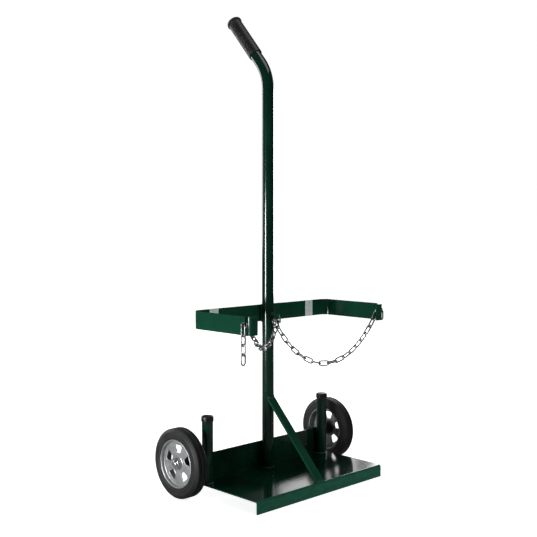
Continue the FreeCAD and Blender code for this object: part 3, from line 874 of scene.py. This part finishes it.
@dataclass
class WheelDress:
    """One wheel's tyre with its tread, its pressed hub with windows, and the rolled beads of its rim."""

    palette: Palette
    side: Side
    facets: int = 96
    tyre_facets: int = 112
    tyre_steps: int = 4
    groove_mouth: Point2 = (0.0042, 0.0070)
    groove_floor: Point2 = (0.0045, 0.0067)
    groove_depth: float = 0.0024
    groove_edge: float = 0.0005
    groove_root: float = 0.0004
    shoulder: float = 0.080
    shoulder_round: float = 0.0035
    tread_half: float = 0.0128
    tread_round: float = 0.0030
    ring_mouth: Point2 = (0.0727, 0.0746)
    ring_floor: Point2 = (0.0732, 0.0741)
    ring_depth: float = 0.0007
    ring_round: float = 0.0002
    flank_start: float = 0.0040
    flank_round: float = 0.0016
    seat_in: float = 0.0012
    seat_gap: float = 0.0002
    seat_round: float = 0.0008
    rim: float = 0.062
    rim_half: float = 0.016
    rim_wall: float = 0.003
    rim_edge: float = 0.0005
    bead_along: Point2 = (-0.0022, 0.0012)
    bead_out: Point2 = (-0.0042, -0.0001)
    bead_root: float = 0.0010
    bead_round: float = 0.0014
    web: float = 0.007
    web_thickness: float = 0.003
    web_fillet: float = 0.003
    barrel: float = 0.0145
    barrel_out: float = 0.0115
    barrel_in: float = 0.0235
    barrel_edge: float = 0.0008
    barrel_fillet: float = 0.0025
    bore: float = 0.0080
    support: float = 0.0055
    support_margin: float = 0.0002
    windows: int = 5
    window_inner: float = 0.026
    window_outer: float = 0.047
    window_foot: float = 0.013
    window_head: float = 0.0298
    window_corner: float = 0.005
    corner_steps: int = 6
    window_edge: float = 0.0006
    edge_steps: int = 2
    sharp: float = math.radians(60)
    flat: float = math.radians(0.5)

    def build(self) -> None:
        """Tyre, hub and rim beads at the wheel's place."""
        word = self.side.word
        low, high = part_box(word + "_tyre")
        radius, half = (high[2] - low[2]) / 2, (high[0] - low[0]) / 2
        pose = Matrix.Translation(middle(word + "_tyre"))
        tyre = turned(word + "_tyre_rubber", self.tyre_outline(radius, half), [pose], self.tyre_facets)
        wear(tyre, self.palette.tyre, word + "_wheel")
        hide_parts(word + "_tyre")
        back, front = (self.rim_half + reach for reach in self.bead_along)
        bottom, top = (self.rim + reach for reach in self.bead_out)
        bead = rounded([
            (back, bottom, self.bead_root),
            (back, top, 0.0),
            (front, top, self.bead_round),
            (front, bottom, self.bead_round),
        ])
        faces = [pose @ side.outwards for side in Side]
        beads = turned(word + "_rim_beads", bead, faces, self.facets)
        wear(beads, self.palette.hub, word + "_wheel")
        hub = self.hub(word + "_hub_pressing", pose @ self.side.outwards)
        wear(hub, self.palette.hub, word + "_wheel")
        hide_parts(word + "_wheel_hub")

    def hub(self, name: str, pose: Matrix) -> Piece:
        """Rim drum, web with rounded windows, and the barrel on the axle.

        Args:
            name: the piece's name.
            pose: the wheel's place, with X pointing outwards.
        Returns:
            The new object.
        """
        drum, back = self.rim - self.rim_wall, self.web - self.web_thickness
        near, far = self.barrel + self.support, drum - self.support
        outline = rounded([
            (self.rim_half, drum, self.rim_edge),
            (self.rim_half, self.rim, self.rim_edge),
            (-self.rim_half, self.rim, self.rim_edge),
            (-self.rim_half, drum, self.rim_edge),
            (back, drum, self.web_fillet),
            (back, far, 0.0),
            (back, near, 0.0),
            (back, self.barrel, self.web_fillet),
            (-self.barrel_in, self.barrel, self.barrel_edge),
            (-self.barrel_in, self.bore, 0.0),
            (self.barrel_out, self.bore, 0.0),
            (self.barrel_out, self.barrel, self.barrel_edge),
            (self.web, self.barrel, self.barrel_fillet),
            (self.web, near, 0.0),
            (self.web, far, 0.0),
            (self.web, drum, self.web_fillet),
        ])
        blank = turned("hub_blank", outline, [Matrix.Identity(4)], self.facets)
        cut = self.window_rig().run(
            "hub_cut", blank.data, Count=self.windows, Inner=self.window_inner, Outer=self.window_outer,
            Foot=self.window_foot, Head=self.window_head, Corner=self.window_corner,
            Material=self.palette.hub)
        bpy.data.objects.remove(blank)
        shell = bmesh.new()
        shell.from_mesh(cut.data)
        bpy.data.objects.remove(cut)
        bmesh.ops.remove_doubles(shell, verts=shell.verts, dist=MERGE)
        web = self.web_verts(shell, near, far)
        crossing = [edge for edge in shell.edges if web.intersection(edge.verts)]
        bmesh.ops.dissolve_limit(shell, angle_limit=self.flat, verts=list(web), edges=crossing)
        web = self.web_verts(shell, near, far)
        edges = [edge for edge in shell.edges
                 if edge.calc_face_angle(0.0) > self.sharp and web.issuperset(edge.verts)]
        bmesh.ops.bevel(shell, geom=edges, offset=self.window_edge, segments=self.edge_steps,
                        profile=0.5, affect="EDGES")
        shell.transform(pose)
        return from_bmesh(name, shell)

    def web_verts(self, shell: bmesh.types.BMesh, near: float, far: float) -> set[bmesh.types.BMVert]:
        """Points of a hub about the X axis between two radii, which are left out with a small margin."""
        low, high = near + self.support_margin, far - self.support_margin
        return {vert for vert in shell.verts if low < math.hypot(*vert.co.yz) < high}

    def window_rig(self) -> NodeRig:
        """Tree that cuts a ring of rounded windows through the hub's web.

        Returns:
            The rig, which works about the X axis.
        """
        rig = NodeRig("hub_windows", ("Inner", "Outer", "Foot", "Head", "Corner"), ("Count",))
        sheet, given = rig.sheet, rig.inputs
        inner, outer = Tone(sheet, given["Inner"]), Tone(sheet, given["Outer"])
        sizes = {"Height": outer - inner, "Bottom Width": given["Foot"], "Top Width": given["Head"],
                 "Offset": 0.0}
        outline = sheet.geometry("CurvePrimitiveQuadrilateral", sizes, mode="TRAPEZOID")
        bends = {"Curve": outline, "Radius": given["Corner"], "Count": self.corner_steps}
        outline = sheet.geometry("FilletCurve", bends, mode="POLY")
        rise = sheet.shader("CombineXYZ", {"Y": (inner + outer) * 0.5})[0]
        outline = sheet.geometry("Transform", {"Geometry": outline, "Translation": rise})
        run = {"Start": (0, 0, -self.web), "End": (0, 0, 2 * self.web)}
        path = sheet.geometry("CurvePrimitiveLine", run, mode="POINTS")
        swept = {"Curve": path, "Profile Curve": outline, "Fill Caps": True}
        upright = {"Geometry": sheet.geometry("CurveToMesh", swept),
                   "Rotation": (math.pi / 2, 0, math.pi / 2)}
        step = Tone(sheet, sheet.geometry("InputIndex")) * (2 * math.pi / self.windows)
        ringed = {"Points": sheet.geometry("Points", {"Count": given["Count"]}),
                  "Instance": sheet.geometry("Transform", upright),
                  "Rotation": sheet.shader("CombineXYZ", {"X": step})[0]}
        cutters = sheet.geometry("InstanceOnPoints", ringed)
        cutters = sheet.geometry("RealizeInstances", {"Geometry": cutters})
        cut = {"Mesh 1": given["Geometry"], "Mesh 2": cutters}
        rig.close(sheet.geometry("MeshBoolean", cut, operation="DIFFERENCE"))
        return rig

    def tyre_outline(self, radius: float, half: float) -> list[Point2]:
        """Closed section of the tyre.

        Args:
            radius: the tyre's outer radius.
            half: half its width.
        Returns:
            Points of place along the axle and radius.
        """
        floor, sunk = radius - self.groove_depth, half - self.ring_depth
        flank = [
            (half - self.seat_in, self.rim + self.seat_gap, self.seat_round),
            (half, self.rim + self.flank_start, self.flank_round),
            (half, self.ring_mouth[0], self.ring_round),
            (sunk, self.ring_floor[0], self.ring_round),
            (sunk, self.ring_floor[1], self.ring_round),
            (half, self.ring_mouth[1], self.ring_round),
            (half, self.shoulder, self.shoulder_round),
            (self.tread_half, radius, self.tread_round),
            (self.groove_mouth[1], radius, self.groove_edge),
            (self.groove_floor[1], floor, self.groove_root),
            (self.groove_floor[0], floor, self.groove_root),
            (self.groove_mouth[0], radius, self.groove_edge),
        ]
        return rounded(flank + [(-x, r, bend) for x, r, bend in reversed(flank)], self.tyre_steps)


@dataclass
class CapDress:
    """Soft vinyl caps on the uprights' tops."""

    palette: Palette
    wall: float = 0.0016
    top: float = 0.003
    corner: float = 0.0034
    inner_edge: float = 0.0004
    outer_edge: float = 0.0007
    facets: int = 48

    def build(self) -> None:
        """Both caps as one piece."""
        low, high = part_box("upright_caps")
        radius, height = (high[1] - low[1]) / 2, high[2] - low[2]
        outline = rounded([
            (0.0, radius - self.wall, self.inner_edge),
            (0.0, radius, self.outer_edge),
            (height, radius, self.corner),
            (height, 0.0, 0.0),
            (height - self.top, 0.0, 0.0),
            (height - self.top, radius - self.wall, 0.0),
        ])
        x, y = high[0] - radius, (low[1] + high[1]) / 2
        upwards = Matrix.Rotation(-math.pi / 2, 4, "Y")
        poses = [Matrix.Translation((side.value * x, y, low[2])) @ upwards for side in Side]
        caps = turned("upright_cap_skins", outline, poses, self.facets)
        wear(caps, self.palette.vinyl, "frame")
        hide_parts("upright_caps")


@dataclass
class AxleDress:
    """Domed caps on the axle's ends."""

    palette: Palette
    height: float = 0.008
    edge: float = 0.0012
    flange: float = 0.0025
    neck: float = 0.0030
    neck_in: float = 0.0022
    neck_round: float = 0.0008
    crown: float = 0.0045
    facets: int = 48
    dome_steps: int = 6

    def build(self) -> None:
        """Both caps as one piece."""
        low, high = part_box("axle_caps")
        radius = (high[2] - low[2]) / 2
        outline = rounded([
            (0.0, 0.0, 0.0),
            (0.0, radius, self.edge / 2),
            (self.flange, radius, self.edge),
            (self.neck, radius - self.neck_in, self.neck_round),
            (self.height, radius - self.crown, self.crown),
            (self.height, 0.0, 0.0),
        ], self.dome_steps)
        x, (_, y, z) = high[0] - self.height, middle("axle_caps")
        poses = [Matrix.Translation((side.value * x, y, z)) @ side.outwards for side in Side]
        caps = turned("axle_cap_domes", outline, poses, self.facets)
        wear(caps, self.palette.zinc, "frame")
        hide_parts("axle_caps")


@dataclass
class ChainDress:
    """Smooth welded links where the solids have faceted ones."""

    palette: Palette
    wire: float = 0.004
    wire_facets: int = 12
    bow_share: float = 0.499
    bow_steps: int = 8
    same_point: float = 1e-5

    def build(self) -> None:
        """Replace the links of each chain node by smooth ones at the same places."""
        rig = self.link_rig()
        bodies = {
            "{}_chain_span": "{}_chain",
            "{}_chain_tail": "{}_tail",
            "{}_hook_link": "frame",
        }
        for side in Side:
            for node, body in bodies.items():
                self.relink(rig, node.format(side.word), body.format(side.word))

    def relink(self, rig: NodeRig, node: str, body: str) -> None:
        """Lay smooth links where one node has its faceted ones.

        Args:
            rig: the tree that makes the links.
            node: the CAD node.
            body: the body that it rides on.
        """
        frames = self.link_frames(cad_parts[node])
        mesh = path_mesh(node + "_links", ([place] for place, _, _ in frames))
        turns = mesh.attributes.new("turn", "FLOAT_VECTOR", "POINT")
        for n, (_, axes, _) in enumerate(frames):
            turns.data[n].vector = axes.to_euler()
        length, width = np.mean([size for _, _, size in frames], axis=0)
        made = rig.run(node + "_links", mesh, Run=float(length) - self.wire, Wire=self.wire / 2,
                       Spread=float(width) - self.wire, Material=self.palette.chain)
        wear(made, self.palette.chain, body)
        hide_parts(node)

    def link_frames(self, node: Piece) -> list[tuple[Vector, Matrix, Point2]]:
        """Place, axes and size of each link in a node.

        Args:
            node: the CAD node's object.
        Returns:
            Middle, turn and outer length and width of every link.
        """
        shell = bmesh.new()
        shell.from_mesh(node.data)
        bmesh.ops.remove_doubles(shell, verts=shell.verts, dist=self.same_point)
        left = set(shell.verts)
        frames = []
        while left:
            island, edge = set(), {next(iter(left))}
            while edge:
                vert = edge.pop()
                island.add(vert)
                edge.update(other for e in vert.link_edges for other in e.verts if other not in island)
            left -= island
            spots = np.array([vert.co[:] for vert in island])
            centre = spots.mean(axis=0)
            _, _, axes = np.linalg.svd(spots - centre)
            along, across = Vector(axes[0]), Vector(axes[1])
            turn = Matrix((along, across, along.cross(across))).transposed()
            reach = (spots - centre) @ axes.T
            size = reach.max(axis=0) - reach.min(axis=0)
            frames.append((Vector(centre), turn, (float(size[0]), float(size[1]))))
        shell.free()
        return sorted(frames, key=lambda row: tuple(row[0]))

    def link_rig(self) -> NodeRig:
        """Tree that sets a round-wire link on each point, turned as the point says.

        Returns:
            The rig.
        """
        rig = NodeRig("welded_links", ("Run", "Spread", "Wire"))
        sheet, given = rig.sheet, rig.inputs
        box = {"Width": given["Run"], "Height": given["Spread"]}
        outline = sheet.geometry("CurvePrimitiveQuadrilateral", box, mode="RECTANGLE")
        bow = Tone(sheet, given["Spread"]) * self.bow_share
        bends = {"Curve": outline, "Radius": bow, "Count": self.bow_steps}
        path = sheet.geometry("FilletCurve", bends, mode="POLY")
        round_wire = {"Resolution": self.wire_facets, "Radius": given["Wire"]}
        section = sheet.geometry("CurvePrimitiveCircle", round_wire)
        link = sheet.geometry("CurveToMesh", {"Curve": path, "Profile Curve": section})
        turn = sheet.geometry("InputNamedAttribute", {"Name": "turn"}, data_type="FLOAT_VECTOR")
        links = {"Points": given["Geometry"], "Instance": link, "Rotation": turn}
        rig.close(sheet.geometry("InstanceOnPoints", links))
        return rig


@dataclass(frozen=True)
class Lamp:
    """A square soft light: its place, the point that it faces, its side in metres and its watts."""

    name: str
    place: Point3
    aim: Point3
    size: float
    power: float
    mirrored: bool = True

    def hang(self) -> None:
        """Put the light into the scene, out of the camera's sight."""
        light = bpy.data.lights.new(self.name, "AREA")
        light.shape = "SQUARE"
        light.size = self.size
        light.energy = self.power
        made = bpy.data.objects.new(self.name, light)
        made.location = self.place
        way = Vector(self.aim) - Vector(self.place)
        made.rotation_euler = way.to_track_quat("-Z", "Y").to_euler()
        made.visible_camera = False
        made.visible_glossy = self.mirrored
        bpy.context.collection.objects.link(made)


@dataclass
class Studio:
    """Pale floor, soft light and the camera."""

    camera_place: Point3 = (-1.67915, -1.70035, 0.70755)
    camera_turn: float = math.radians(-44.22)
    camera_dip: float = math.radians(3.2)
    lens: float = 60.0
    sensor: float = 36.0
    floor_size: float = 30.0
    floor_drop: float = 0.0005
    glow: float = 0.6
    glow_ahead: Point2 = (0.55, 0.95)
    glow_aside: Point2 = (-0.04, 0.08)
    glow_top: Point2 = (0.12, 0.5)
    overhead: float = 0.06
    overhead_rise: Point2 = (0.4, 1.0)
    dim: float = 0.03
    lamps: tuple[Lamp, ...] = (
        Lamp("key_light", (-3.15, 0.2, 0.42), (0, 0, 0.42), 0.8, 115.0),
        Lamp("low_light", (0.15, -0.85, 0.10), (0, -0.15, 0.05), 0.4, 2.4, False),
        Lamp("back_light", (2.6, 2.23, 1.04), (0, -0.1, 0.03), 0.5, 1.7),
        Lamp("right_light", (3.0, 1.2, 0.9), (0, 0, 0.4), 1.4, 60.0),
        Lamp("rear_light", (-0.3, 3.2, 1.2), (0, 0, 0.4), 1.4, 35.0),
        Lamp("top_light", (0.45, -0.9, 3.1), (0, 0, 0.9), 1.6, 25.0),
    )

    def floor(self) -> None:
        """Wide pale floor, just under the wheels."""
        shell = bmesh.new()
        under = Matrix.Translation((0, 0, -self.floor_drop))
        bmesh.ops.create_grid(shell, x_segments=1, y_segments=1, size=self.floor_size / 2, matrix=under)
        made = from_bmesh("studio_floor", shell)
        made.data.materials.append(PaleFloor("studio_floor").make())

    def sky(self) -> None:
        """White to the eye, and dim round the cart but for a glow low behind it and a faint one overhead."""
        world = bpy.data.worlds.new("studio")
        world.use_nodes = True
        bpy.context.scene.world = world
        sheet = Sheet(world.node_tree)
        way = sheet.shader("TexCoord")["Generated"]
        sin, cos = math.sin(self.camera_turn), math.cos(self.camera_turn)
        ahead = sheet.measure("DOT_PRODUCT", way, (-sin, cos, 0.0)).over(*self.glow_ahead)
        aside = sheet.measure("DOT_PRODUCT", way, (cos, sin, 0.0)).over(*self.glow_aside)
        height = sheet.axes(way)[2]
        glow = ahead * aside * (1 - height.over(*self.glow_top)) * self.glow
        seen = Tone(sheet, sheet.shader("LightPath")["Is Camera Ray"])
        unseen = glow + height.over(*self.overhead_rise) * self.overhead + self.dim
        back = world.node_tree.nodes["Background"]
        back.inputs["Strength"].default_value = 1.0
        sheet.feed(back.inputs["Color"], seen + (1 - seen) * unseen)

    def camera(self) -> None:
        """Camera at the photograph's angle."""
        data = bpy.data.cameras.new("camera")
        data.lens = self.lens
        data.sensor_width = self.sensor
        data.sensor_fit = "HORIZONTAL"
        made = bpy.data.objects.new("camera", data)
        made.location = self.camera_place
        made.rotation_euler = (math.pi / 2 - self.camera_dip, 0.0, self.camera_turn)
        bpy.context.collection.objects.link(made)
        bpy.context.scene.camera = made

    def build(self) -> None:
        """The whole studio."""
        bpy.context.scene.view_settings.view_transform = "Standard"
        self.floor()
        self.sky()
        for lamp in self.lamps:
            lamp.hang()
        self.camera()


def main() -> None:
    """Dress the cart, piece by piece."""
    logging.basicConfig(level=logging.INFO)
    palette = Palette()
    dress = FrameDress(palette)
    dress.coat()
    dress.weld()
    dress.strips()
    GripDress(palette).build()
    for side in Side:
        WheelDress(palette, side).build()
    CapDress(palette).build()
    AxleDress(palette).build()
    ChainDress(palette).build()
    Studio().build()


if __name__ == "__main__":
    main()
